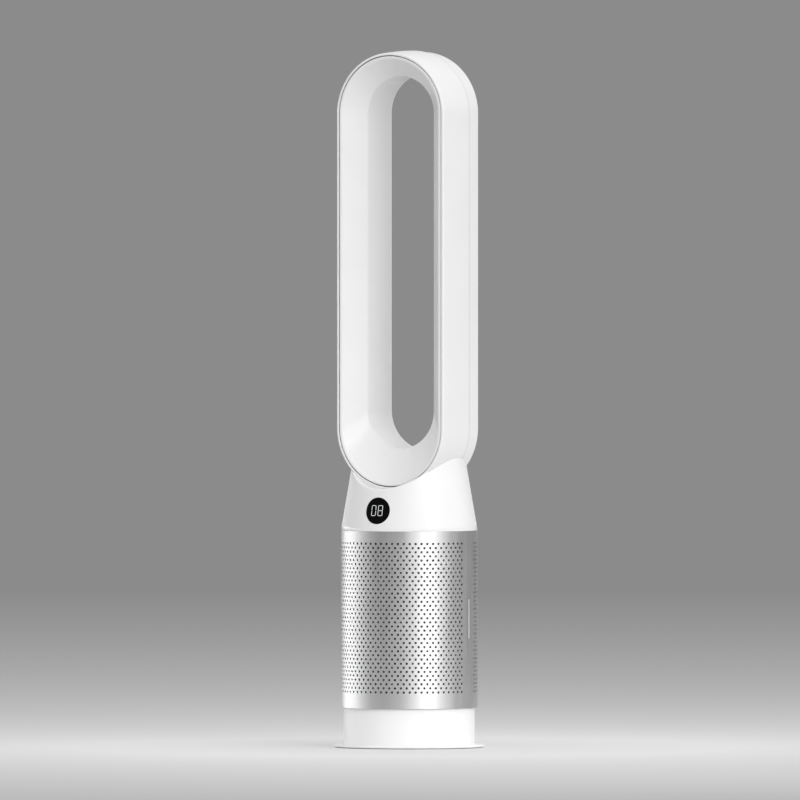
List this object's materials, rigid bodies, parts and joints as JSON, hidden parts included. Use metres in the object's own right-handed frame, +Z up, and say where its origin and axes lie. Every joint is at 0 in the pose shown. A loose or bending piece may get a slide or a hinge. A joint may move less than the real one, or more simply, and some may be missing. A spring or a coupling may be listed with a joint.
{
  "type": "bladeless tower fan",
  "caption": "Tower air purifier fan: a tall stadium-shaped bladeless loop on a tapered neck, over a perforated drum with filters, turning on a round base plate.",
  "frame": {"origin": "on the floor, on the turning axis, at the middle of the round base plate", "axes": "+Z up along the turning axis; the display and the loop's funnel face -Y; +X is to the right seen from the front"},
  "size_m": [0.2266, 0.2266, 1.0502],
  "materials": {
    "white_plastic": "gloss white",
    "silver_sheet": "satin anodised, perforated",
    "silver_plastic": "satin silver",
    "display_black": "high gloss black",
    "dark_plastic": "moulded, fine grain",
    "white_nylon": "natural nylon",
    "rubber": "matt",
    "steel": "ground",
    "circuit_board": "solder mask",
    "filter_paper": "pleated fleece",
    "carbon_felt": "felt",
    "foam": "open-cell foam"
  },
  "bodies": {
    "base": {"foot_ring": "rubber", "base_plate": "white_plastic", "base_screws": "steel", "base_housing": "white_plastic", "mains_inlet": "dark_plastic", "inlet_pins": "steel", "power_board": "circuit_board", "ring_gear": "white_nylon", "lower_race": "steel", "bearing_balls": "steel", "ball_cage": "white_nylon"},
    "turret": {"turntable": "dark_plastic", "upper_race": "steel", "oscillation_motor": "steel", "control_board": "circuit_board", "chamber_cover": "dark_plastic", "chassis": "dark_plastic", "intake_bell": "dark_plastic", "impeller_casing": "dark_plastic", "diffuser": "dark_plastic", "motor_housing": "steel", "motor_stator": "steel", "motor_bearings": "steel", "motor_mounts": "rubber", "silencer_foam": "foam", "air_sensor": "dark_plastic", "neck_screws": "steel", "flow_duct": "dark_plastic", "duct_seal": "rubber", "neck_housing": "white_plastic", "display_lens": "display_black", "display_board": "circuit_board", "loop_outer_shell": "white_plastic", "loop_inner_shell": "white_plastic", "slot_spacers": "dark_plastic", "right_side_strip": "silver_sheet", "left_side_strip": "silver_sheet", "right_button_spring": "steel", "left_button_spring": "steel", "power_button_spring": "steel"},
    "pinion": {"drive_pinion": "white_nylon", "pinion_shaft": "steel"},
    "impeller": {"impeller": "white_nylon", "motor_shaft": "steel", "motor_rotor": "dark_plastic"},
    "front_shroud": {"front_shroud": "silver_sheet", "front_shroud_frame": "dark_plastic"},
    "rear_shroud": {"rear_shroud": "silver_sheet", "rear_shroud_frame": "dark_plastic"},
    "front_filter": {"front_filter_frame": "dark_plastic", "front_filter_media": "filter_paper", "front_carbon_layer": "carbon_felt"},
    "rear_filter": {"rear_filter_frame": "dark_plastic", "rear_filter_media": "filter_paper", "rear_carbon_layer": "carbon_felt"},
    "right_release": {"right_release_button": "silver_plastic"},
    "left_release": {"left_release_button": "silver_plastic"},
    "power": {"power_button": "silver_plastic"}
  },
  "joints": [
    {"name": "oscillation", "type": "hinge", "parent": "base", "child": "turret", "pos_m": [0, 0, 0.0519], "axis": [0, 0, 1], "range_deg": [-175, 175]},
    {"name": "pinion_spin", "type": "hinge", "parent": "turret", "child": "pinion", "pos_m": [0, 0.045, 0.047], "axis": [0, 0, 1], "range_deg": [-525, 525]},
    {"name": "impeller_spin", "type": "hinge", "parent": "turret", "child": "impeller", "pos_m": [0, 0, 0.184], "axis": [0, 0, 1], "continuous": true},
    {"name": "front_shroud_slide", "type": "slide", "parent": "turret", "child": "front_shroud", "axis": [0, -1, 0], "range_m": [0, 0.2]},
    {"name": "front_filter_slide", "type": "slide", "parent": "turret", "child": "front_filter", "axis": [0, -1, 0], "range_m": [0, 0.12]},
    {"name": "rear_shroud_slide", "type": "slide", "parent": "turret", "child": "rear_shroud", "axis": [0, 1, 0], "range_m": [0, 0.2]},
    {"name": "rear_filter_slide", "type": "slide", "parent": "turret", "child": "rear_filter", "axis": [0, 1, 0], "range_m": [0, 0.12]},
    {"name": "right_release_press", "type": "slide", "parent": "turret", "child": "right_release", "axis": [-1, 0, 0], "range_m": [0, 0.0025], "stiffness_N_per_m": 600, "springref_m": -0.003, "deforming": ["right_button_spring"]},
    {"name": "left_release_press", "type": "slide", "parent": "turret", "child": "left_release", "axis": [1, 0, 0], "range_m": [0, 0.0025], "stiffness_N_per_m": 600, "springref_m": -0.003, "deforming": ["left_button_spring"]},
    {"name": "power_press", "type": "slide", "parent": "turret", "child": "power", "axis": [0, -0.9859, -0.1676], "range_m": [0, 0.0015], "stiffness_N_per_m": 500, "springref_m": -0.003, "deforming": ["power_button_spring"]}
  ],
  "couplings": [
    {"joint": "pinion_spin", "follows": "oscillation", "ratio": 3},
    {"joint": "front_filter_slide", "follows": "front_shroud_slide", "ratio": 0.6},
    {"joint": "rear_filter_slide", "follows": "rear_shroud_slide", "ratio": 0.6}
  ]
}
